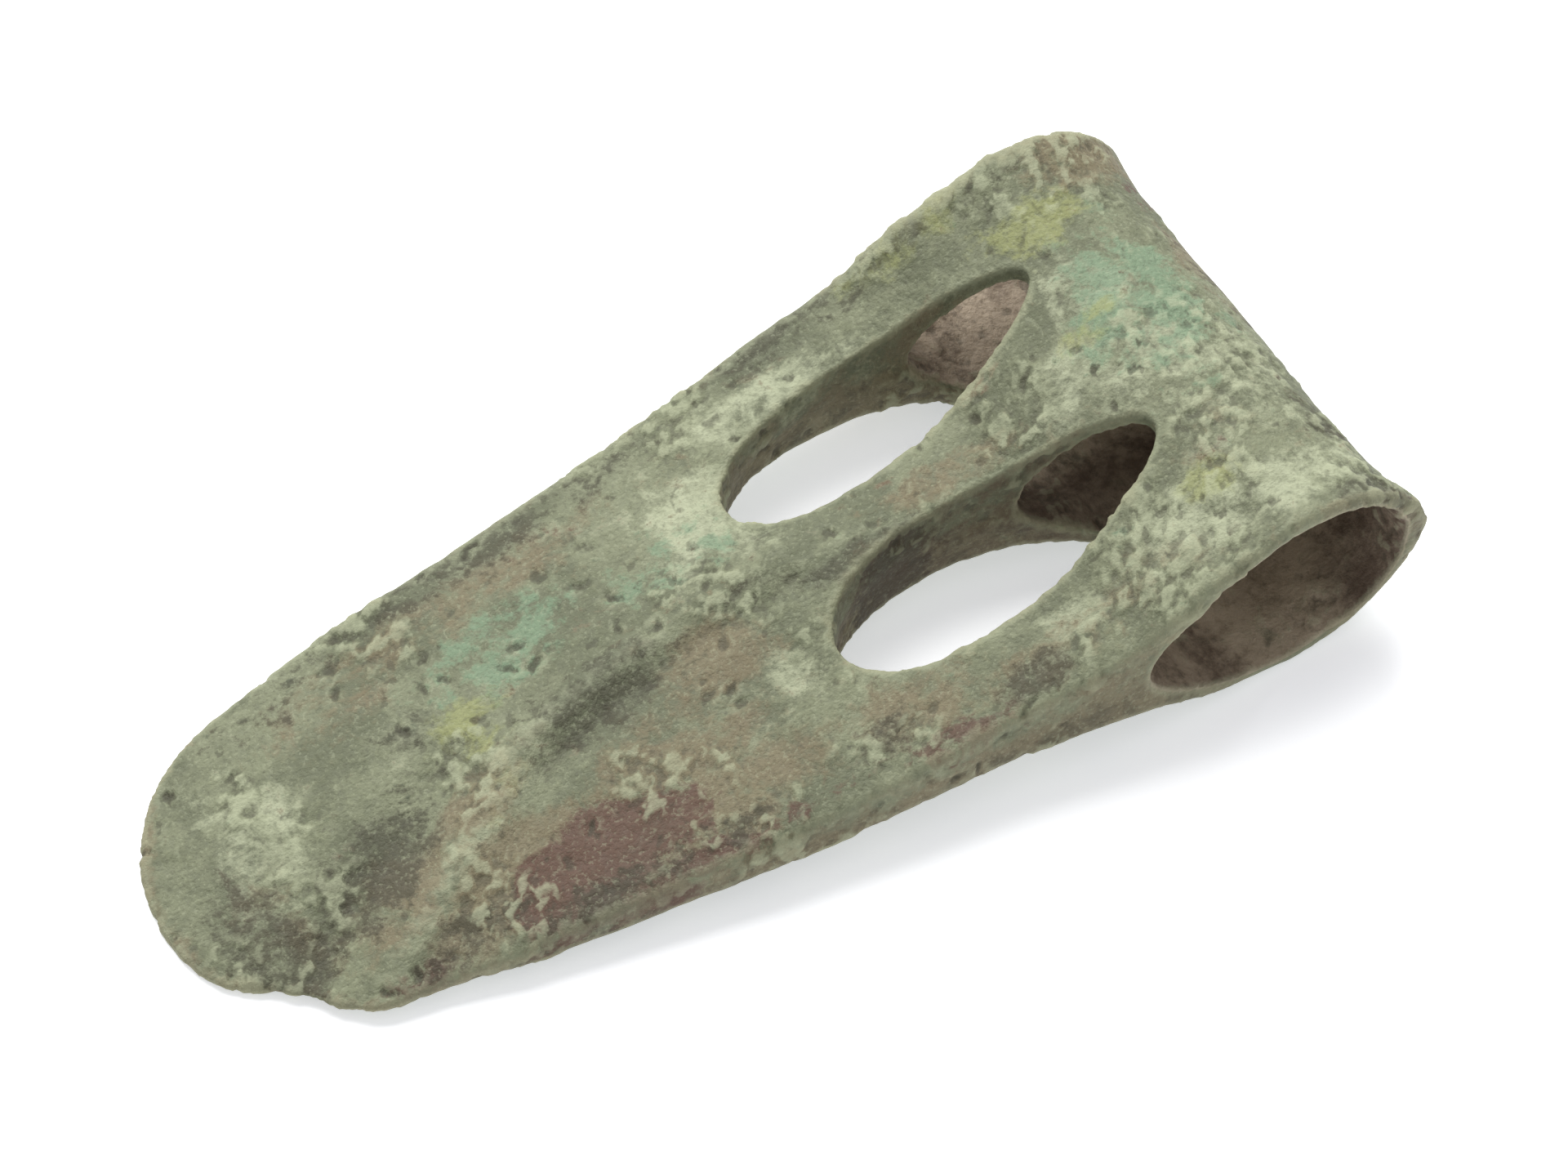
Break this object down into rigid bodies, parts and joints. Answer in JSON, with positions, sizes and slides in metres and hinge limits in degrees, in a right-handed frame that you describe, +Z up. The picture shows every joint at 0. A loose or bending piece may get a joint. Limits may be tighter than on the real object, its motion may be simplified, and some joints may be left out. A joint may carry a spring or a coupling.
{
  "type": "duck bill axe head",
  "caption": "Cast bronze axe head with a shaft socket along its back, a window on each side of a middle bar, and a long blade narrowing to a round, notched edge.",
  "frame": {"origin": "centre of the bounding box's underside, on the surface that the head lies on", "axes": "+X from the cutting edge to the back of the socket, +Y along the socket from the mouth nearer the viewer to the other mouth, +Z up through the lying head"},
  "size_m": [0.1052, 0.0466, 0.0179],
  "materials": {
    "bronze": "dull green and brown patina over bronze, pitted and crusted, with dark corroded patches and reddish cuprite spots"
  },
  "bodies": {
    "root": {"axe_head": "bronze"}
  },
  "joints": []
}
